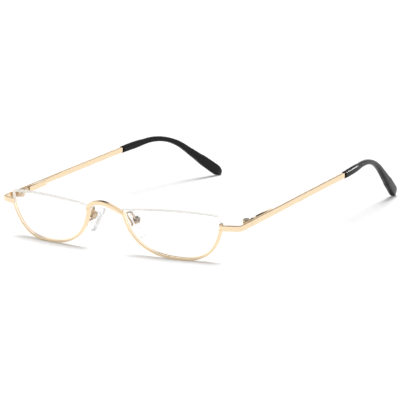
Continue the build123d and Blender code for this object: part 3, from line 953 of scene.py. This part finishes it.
class GLASSES_OT_end_pieces(bpy.types.Operator):
    """Bends the end pieces from the front into the line of the temples"""
    bl_idname = "glasses.end_pieces"
    bl_label = "End pieces"

    def execute(self, context):
        s = temple_sizes()
        seam = seam_point() - temple_turn() @ Vector((0, s.seam_gap, 0))
        begin, corner = strap_points()
        first = (corner - begin).normalized()
        second = (seam - corner).normalized()
        up = first.cross(second).normalized()
        turned = first.angle(second)
        start = corner - first * s.strap_bend * math.tan(turned / 2)
        middle = start + up.cross(first) * s.strap_bend
        line = [begin.lerp(start, k / 8) for k in range(9)]
        for step in range(1, 15):
            line.append(middle + Matrix.Rotation(turned * step / 14, 3, up) @ (start - middle))
        line += [line[-1].lerp(seam, k / 8) for k in range(1, 9)]
        flat = across(Vector((0, 0, 0)), up, first)
        local = [flat.inverted() @ p for p in line]
        sizes = (s.strap_thickness - INSIDE, s.strap_height, s.bar_round)
        for side in SIDES:
            drawn_piece(side, "end_strap", "end_piece", local, sizes, rest_matrix() @ flat, "gold",
                        "front")
            dress_solid(side, "line_anchor", "line_block", "aged", "front", BLOCK_EDGE)
        return {"FINISHED"}


# The pads, from the nasal corner of the lens: the pad's two ends and its screw box
PAD_TOP = Vector((-1.35, 9.3, -2.5)) * MM
PAD_BOTTOM = Vector((4.65, 7.6, -13.05)) * MM
PAD_BOX = Vector((2.45, 6.6, -5.45)) * MM
PAD_RADIUS = 2.9 * MM
PAD_TOP_RADIUS_SHARE = 0.74
PAD_THICKNESS = 2.3 * MM
PAD_EDGE = 1.0 * MM

# Rings of the pad's faces, in millimetres: the distance inside its outline, the dish of the face at the
# nose and the swell of the back
PAD_FACE_RINGS = ((1.3, 0.0, 0.0), (1.8, 0.01, 0.06), (2.2, 0.03, 0.18))

# The pad arm: its foot as a share of the rim's length and behind the lens's front, its straight run back
# from there, its bends from the screw box, its end inside the box, and the radii of the bends
ARM_FOOT_SHARE = 0.883
ARM_FOOT_BEHIND = 1.9 * MM
ARM_FOOT_RUN = 2.2 * MM
ARM_BENDS = (Vector((-3.3, -3.2, 3.5)) * MM, Vector((-1.5, -1.6, 3.7)) * MM)
ARM_END = 0.6 * MM
ARM_RADII = (0.7 * MM, 0.9 * MM, 0.9 * MM)
ARM_WIRE_RADIUS = 0.42 * MM


def rounded_path(points, radii, steps=7):
    """A path of straight runs whose corners are rounded by curves, each within half of its runs."""
    found = [points[0]]
    for before, corner, after, radius in zip(points, points[1:], points[2:], radii):
        a = (before - corner).normalized()
        b = (after - corner).normalized()
        half = a.angle(b) / 2
        cut = min(radius / math.tan(half), (before - corner).length * 0.49, (after - corner).length * 0.49)
        start, end = corner + a * cut, corner + b * cut
        for step in range(steps + 1):
            t = step / steps
            found.append(start * (1 - t) ** 2 + corner * 2 * t * (1 - t) + end * t ** 2)
    return found + [points[-1]]


class GLASSES_OT_pads(bpy.types.Operator):
    """Bends the pad arms, sets the boxes and screws, and moulds the clear pads on their inserts"""
    bl_idname = "glasses.pads"
    bl_label = "Nose pads"

    def drop(self, inset, height):
        """The outline of the pad at a height, a drop that is narrower at its top, moved inward."""
        size = (PAD_BOTTOM - PAD_TOP).length
        small = PAD_RADIUS * PAD_TOP_RADIUS_SHARE
        low, top = size / 2 - PAD_RADIUS, small - size / 2
        lean = math.asin((PAD_RADIUS - small) / (low - top))
        points = []
        for step in range(25):
            turn = -math.pi / 2 - lean + (math.pi + 2 * lean) * step / 24
            way = Vector((math.cos(turn), math.sin(turn), 0))
            points.append(Vector((low, 0, height)) + way * (PAD_RADIUS - inset))
        for step in range(19):
            turn = math.pi / 2 + lean + (math.pi - 2 * lean) * step / 18
            way = Vector((math.cos(turn), math.sin(turn), 0))
            points.append(Vector((top, 0, height)) + way * (small - inset))
        return points

    def rings(self):
        """Rings of the pad from the middle of its back, round its edge, to the middle of its face."""
        half = PAD_THICKNESS / 2
        rings = []
        for step in range(-9, 10):
            turn = math.radians(90 * step / 9)
            flat = (half - PAD_EDGE) * (1 if step > 0 else -1 if step < 0 else 0)
            rings.append(self.drop(PAD_EDGE * (1 - math.cos(turn)), flat + PAD_EDGE * math.sin(turn)))
        for inset, dish, swell in PAD_FACE_RINGS:
            rings.append(self.drop(inset * MM, half - dish * MM))
            rings.insert(0, self.drop(inset * MM, -half - swell * MM))
        return rings

    def arm(self, box, out):
        """The middle line of the pad arm's wire from the rim to the inside of the screw box."""
        rim = lower_edge(lens_sizes().rim_offset, 1000)[round(1000 * ARM_FOOT_SHARE)]
        foot = Vector((rim.x, rim.y, front_drop(rim.x, rim.y, ARM_FOOT_BEHIND)))
        to_making = rest_matrix().inverted() @ lens_matrix()
        points = [to_making @ foot, to_making @ (foot - Vector((0, 0, ARM_FOOT_RUN)))]
        points += [box + bend for bend in ARM_BENDS]
        points.append(box + out.normalized() * ARM_END)
        return rounded_path(points, ARM_RADII)

    def execute(self, context):
        s = lens_sizes()
        box = Vector((s.bridge / 2, 0, s.top_height)) + PAD_BOX
        down = (PAD_BOTTOM - PAD_TOP).normalized()
        along = (PAD_BOX - PAD_TOP).dot(down)
        out = PAD_BOX - PAD_TOP - down * along
        place = rest_matrix() @ across(box, out, down)
        shift = Vector(((PAD_BOTTOM - PAD_TOP).length / 2 - along, 0, -out.length))
        rings = [[p + shift for p in ring] for ring in self.rings()]
        line = self.arm(box, out)
        for side in SIDES:
            mesh = mesh_of(*skin(rings))
            piece_from(f"{side}_clear_pad", mesh, side, place, finish("pad"), f"{side}_pad",
                       f"{side}_nose_pad", sharp=50)
            drawn_piece(side, "pad_wire", "pad_arm", line, (ARM_WIRE_RADIUS, 0, 0), rest_matrix(), "aged",
                        "front")
            dress_solid(side, "pad_box", "pad_cup", "aged", "front", SMALL_EDGE)
            dress_solid(side, "pad_screw", "pad_pin", "steel", "front", SMALL_EDGE)
            dress_solid(side, "pad_insert", "pad_core", "insert", f"{side}_pad", SMALL_EDGE)
        return {"FINISHED"}


class GLASSES_OT_hinges(bpy.types.Operator):
    """Eases the edges of the hinge pieces and the spring housing"""
    bl_idname = "glasses.hinges"
    bl_label = "Hinges"

    def execute(self, context):
        for side in SIDES:
            temple, slider = f"{side}_temple", f"{side}_slider"
            dress_solid(side, "hinge_knuckles", "knuckle_pair", "brazed", "front", KNUCKLE_EDGE)
            dress_solid(side, "hinge_screw", "hinge_pin", "steel", "front", SMALL_EDGE)
            dress_solid(side, "hinge_slider", "spring_slider", "brazed", slider, SLIDER_EDGE)
            dress_solid(side, "spring_housing", "spring_case", "gold", temple, BLOCK_EDGE)
        return {"FINISHED"}


# The tips: sections as the share of the length, and height and width in millimetres
TIP_SECTIONS = (
    (0.00, 2.95, 2.2), (0.05, 3.2, 2.4), (0.11, 3.3, 2.5), (0.20, 2.9, 2.5), (0.31, 2.5, 2.4),
    (0.42, 2.4, 2.4), (0.52, 2.6, 2.5), (0.61, 3.0, 2.6), (0.70, 3.7, 2.8), (0.78, 4.4, 3.0),
    (0.86, 4.9, 3.1), (0.93, 5.0, 3.1),
)

# Rings of the fish mouth: shares of the tip's length, of its section and of the mouth's depth, and the
# distance back in millimetres
MOUTH_RINGS = (
    (0, 0.60, 1, 0.9), (0, 0.74, 1, 0.25), (0, 0.86, 1, 0.02), (0, 0.96, 1, 0), (0, 1, 1, 0.12),
    (0.012, 1, 0.55, 0), (0.025, 1, 0.2, 0),
)

# The rounding of the tip's section as a share of its width, the size of the drawn section and the reach of
# its end as shares of the solid's, the size of its last ring, and the curve of its inward bend
TIP_CORNER_SHARE = 0.38
TIP_INSIDE_SHARE = 0.999
TIP_END_SHARE = 0.998
TIP_POINT_SHARE = 0.06
TIP_INSET_POWER = 1.6
BAR_IN_TIP = 1.2 * MM


def tip_point(place):
    """The middle line of the tip in the temple's plane, at a share of its length."""
    s = temple_sizes()
    arc = s.tip_bend * s.tip_angle
    whole = s.temple_length - s.tip_mouth
    end_run = whole - s.tip_straight - arc

    def flat(distance):
        if distance <= s.tip_straight:
            return s.tip_mouth + distance, 0
        turn = min(distance - s.tip_straight, arc) / s.tip_bend
        run = max(distance - s.tip_straight - arc, 0)
        back = s.tip_mouth + s.tip_straight + s.tip_bend * math.sin(turn) + run * math.cos(s.tip_angle)
        return back, -s.tip_bend * (1 - math.cos(turn)) - run * math.sin(s.tip_angle)

    back, up = flat(place * whole)
    last = s.tip_mouth + s.tip_straight + s.tip_bend * math.sin(s.tip_angle) + end_run * math.cos(s.tip_angle)
    inward = s.tip_inset * max(0, (back - s.tip_mouth) / (last - s.tip_mouth)) ** TIP_INSET_POWER
    return Vector((-inward, back, up))


class GLASSES_OT_temples(bpy.types.Operator):
    """Draws the flat temple bars and moulds the black tips over their ends"""
    bl_idname = "glasses.temples"
    bl_label = "Temples and tips"

    def tip_rings(self):
        """Rings of the tip from the inside of its mouth to its rounded end."""
        sizes = even_curve([Vector(row) for row in TIP_SECTIONS], 200)
        last = TIP_SECTIONS[-1][0]

        def ring(place, share=1, notch=0, back=0):
            along = tip_point(min(place + 0.01, 1)) - tip_point(max(place - 0.01, 0))
            size = min(sizes, key=lambda row: abs(row.x - min(place, last)))
            height, width = size.y * MM * TIP_INSIDE_SHARE * share, size.z * MM * TIP_INSIDE_SHARE * share
            plane = across(tip_point(place), along, Vector((1, 0, 0)))
            points = []
            for p in rounded_ring(width, height, width * TIP_CORNER_SHARE, 6):
                slack = 1 - min(1, abs(p.y) / (height / 2)) ** 2
                points.append(plane @ Vector((p.x, p.y, back + notch * slack)))
            return points

        depth = temple_sizes().mouth_depth
        rings = [ring(place, share, depth * notch, back * MM) for place, share, notch, back in MOUTH_RINGS]
        rings += [ring(step / 100) for step in range(4, round(last * 100))]
        for step in range(1, 12):
            turn = math.radians(90 * step / 11)
            place = last + (1 - last) * math.sin(turn) * TIP_END_SHARE
            rings.append(ring(place, max(math.cos(turn), TIP_POINT_SHARE)))
        return rings

    def execute(self, context):
        s = temple_sizes()
        bar = [Vector((0, s.tip_mouth * step / 40, 0)) for step in range(41)]
        bar.append(Vector((0, s.tip_mouth + BAR_IN_TIP, 0)))
        sizes = (s.bar_thickness, s.bar_height, s.bar_round)
        rings = self.tip_rings()
        for side in SIDES:
            drawn_piece(side, "flat_bar", "temple_bar", bar, sizes, temple_matrix(), "gold",
                        f"{side}_temple")
            mesh = mesh_of(*skin(rings))
            piece_from(f"{side}_black_tip", mesh, side, temple_matrix(), finish("black"), f"{side}_temple",
                       f"{side}_temple_tip", sharp=60)
        return {"FINISHED"}


class GLASSES_OT_solids(bpy.types.Operator):
    """Gives the carried over solids inside the hinges their steel"""
    bl_idname = "glasses.solids"
    bl_label = "Inner pieces"

    def execute(self, context):
        for side in SIDES:
            for node in ("hinge_bushing", "spring_stop", "coil_spring", "slider_nut"):
                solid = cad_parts[f"{side}_{node}"]
                if not solid.material_slots:
                    solid.data.materials.append(finish("steel"))
                for slot in solid.material_slots:
                    slot.material = finish("steel")
        return {"FINISHED"}


# The studio: the grey that gloss shows at each height of the room, from below to above, the paler grey
# of its right back part, and the lamps
ROOM_GREYS = (
    (0.00, (1.10, 1.10, 1.10, 1)), (0.30, (0.98, 0.97, 0.96, 1)), (0.35, (0.45, 0.42, 0.40, 1)),
    (0.45, (0.12, 0.10, 0.09, 1)), (0.74, (0.08, 0.07, 0.06, 1)), (0.84, (0.45, 0.44, 0.43, 1)),
    (0.92, (0.10, 0.09, 0.08, 1)),
)
RIGHT_BACK_GREY = (0.92, 0.91, 0.90)
ROOM_LIGHT = (0.11, 0.11, 0.11)
CEILING_PLACE = (0.05, -0.02, 1.2)
CEILING = {"energy": 3.2, "angle": math.radians(34)}
STRIP_PLACE = (0.95, 1.42, 0.60)
STRIP = {"shape": "RECTANGLE", "size": 0.9, "size_y": 0.15, "energy": 32.0}
STRIP_LEAN = math.radians(-27)


class GLASSES_OT_stage(bpy.types.Operator):
    """Lays the white floor, the studio light and the camera"""
    bl_idname = "glasses.stage"
    bl_label = "Studio stage"

    def room(self, scene):
        """White to the camera and through glass, and greys that change with height in gloss."""
        world = bpy.data.worlds.new("studio room")
        scene.world = world
        f = Finish(world)
        place = f.wire("ShaderNodeTexCoord", output="Generated")
        split = f.node("ShaderNodeSeparateXYZ", {}, {0: place})
        height = Wire(f, split.outputs["Z"])
        ramp = f.wire("ShaderNodeValToRGB", {"stops": ROOM_GREYS}, {0: height})

        def beyond(axis, start, rate):
            """A share that grows from 0 to 1 past a start on an axis of the room."""
            settings = {"operation": "MULTIPLY", "use_clamp": True}
            return f.wire("ShaderNodeMath", settings, {0: Wire(f, split.outputs[axis]) - start, 1: rate})

        right_back = beyond("X", start=-0.38, rate=6.0) * beyond("Y", start=0.10, rate=4.0)
        ramp = f.blend(right_back, ramp, RIGHT_BACK_GREY)
        light = f.node("ShaderNodeLightPath")
        gloss = Wire(f, light.outputs["Is Glossy Ray"])
        white = Wire(f, light.outputs["Is Camera Ray"]) + Wire(f, light.outputs["Is Transmission Ray"])
        plain = f.blend(white, ROOM_LIGHT, (1, 1, 1))
        seen = f.blend(gloss, plain, ramp)
        back = f.wire("ShaderNodeBackground", {}, {"Color": seen, "Strength": 1.0})
        f.node("ShaderNodeOutputWorld", {}, {"Surface": back})

    def group(self, name, pieces):
        """A collection, outside the scene, of the pieces that a lamp shines on or that stop its light."""
        group = bpy.data.collections.new(name)
        for piece in pieces:
            group.objects.link(bpy.data.objects[piece])
        return group

    def lamp(self, kind, name, place, lean=0.0, shines_on=(), stopped_by=(), **settings):
        """A lamp at a place that looks at the middle of the floor; only the area lamps show in gloss."""
        light = bpy.data.lights.new(name, kind)
        for key, value in settings.items():
            setattr(light, key, value)
        lamp = bpy.data.objects.new(name, light)
        turn = (-Vector(place)).to_track_quat("-Z", "Y").to_matrix().to_4x4()
        lamp.matrix_world = Matrix.Translation(place) @ turn @ Matrix.Rotation(lean, 4, "Z")
        lamp.visible_glossy = kind == "AREA"
        bpy.context.scene.collection.objects.link(lamp)
        if shines_on:
            lamp.light_linking.receiver_collection = self.group(f"{name} shines on", shines_on)
        if stopped_by:
            lamp.light_linking.blocker_collection = self.group(f"{name} stopped by", stopped_by)

    def execute(self, context):
        scene = context.scene
        s = scene.glasses_studio
        half = s.floor_size / 2
        corners = [(-half, -half, 0), (half, -half, 0), (half, half, 0), (-half, half, 0)]
        paper = mesh_of(corners, [(0, 1, 2, 3)])
        paper.materials.append(finish("paper"))
        floor = bpy.data.objects.new("studio_floor", paper)
        scene.collection.objects.link(floor)
        self.room(scene)
        stops = [f"{side}_{piece}" for side in SIDES
                 for piece in ("rim_strip", "half_moon_lens", "black_tip", "nylon_line")]
        self.lamp("SUN", "ceiling light", CEILING_PLACE, stopped_by=stops, **CEILING)
        self.lamp("AREA", "strip light", STRIP_PLACE, STRIP_LEAN, ["left_black_tip"], **STRIP)
        level = math.cos(s.elevation)
        back = Vector((math.sin(s.azimuth) * level, -math.cos(s.azimuth) * level, math.sin(s.elevation)))
        right = Matrix.Rotation(s.roll, 3, back) @ Vector((math.cos(s.azimuth), math.sin(s.azimuth), 0))
        up = back.cross(right)
        camera = bpy.data.cameras.new("camera")
        camera.sensor_width = 36
        camera.lens = s.focal
        camera.clip_start = 0.01
        camera.clip_end = 20
        eye = bpy.data.objects.new("camera", camera)
        eye.matrix_world = (Matrix.Translation((s.camera_x, s.camera_y, s.camera_z))
                            @ Matrix((right, up, back)).transposed().to_4x4())
        scene.collection.objects.link(eye)
        scene.camera = eye
        scene.view_settings.view_transform = "Standard"
        return {"FINISHED"}


class GLASSES_PT_panel(bpy.types.Panel):
    """The glasses' pieces and sizes"""
    bl_idname = "GLASSES_PT_panel"
    bl_label = "Half eye glasses"
    bl_space_type = "VIEW_3D"
    bl_region_type = "UI"
    bl_category = "Glasses"

    def draw(self, context):
        for operator in OPERATORS:
            self.layout.operator(operator.bl_idname)
        for group in GROUPS:
            sizes = getattr(context.scene, group)
            box = self.layout.box()
            for name in sizes.bl_rna.properties.keys():
                if name not in ("rna_type", "name"):
                    box.prop(sizes, name)


GROUPS = {
    "glasses_lens": LensSizes, "glasses_temple": TempleSizes, "glasses_studio": StudioSizes,
    "glasses_finish": Finishes,
}
OPERATORS = (
    GLASSES_OT_rims, GLASSES_OT_bridge, GLASSES_OT_lenses, GLASSES_OT_lines, GLASSES_OT_end_pieces,
    GLASSES_OT_pads, GLASSES_OT_hinges, GLASSES_OT_temples, GLASSES_OT_solids, GLASSES_OT_stage,
)
SWEEPER = None


def register():
    """Registers the sizes, the operators and the panel."""
    for kind in (*GROUPS.values(), *OPERATORS, GLASSES_PT_panel):
        bpy.utils.register_class(kind)
    for name, group in GROUPS.items():
        setattr(bpy.types.Scene, name, PointerProperty(type=group))


def unregister():
    """Removes what register added."""
    for name in GROUPS:
        delattr(bpy.types.Scene, name)
    for kind in reversed((*GROUPS.values(), *OPERATORS, GLASSES_PT_panel)):
        bpy.utils.unregister_class(kind)


def main():
    """Builds every piece and the stage."""
    global SWEEPER
    register()
    SWEEPER = Sweeper()
    for operator in OPERATORS:
        group, name = operator.bl_idname.split(".")
        getattr(getattr(bpy.ops, group), name)()


if __name__ == "__main__":
    main()
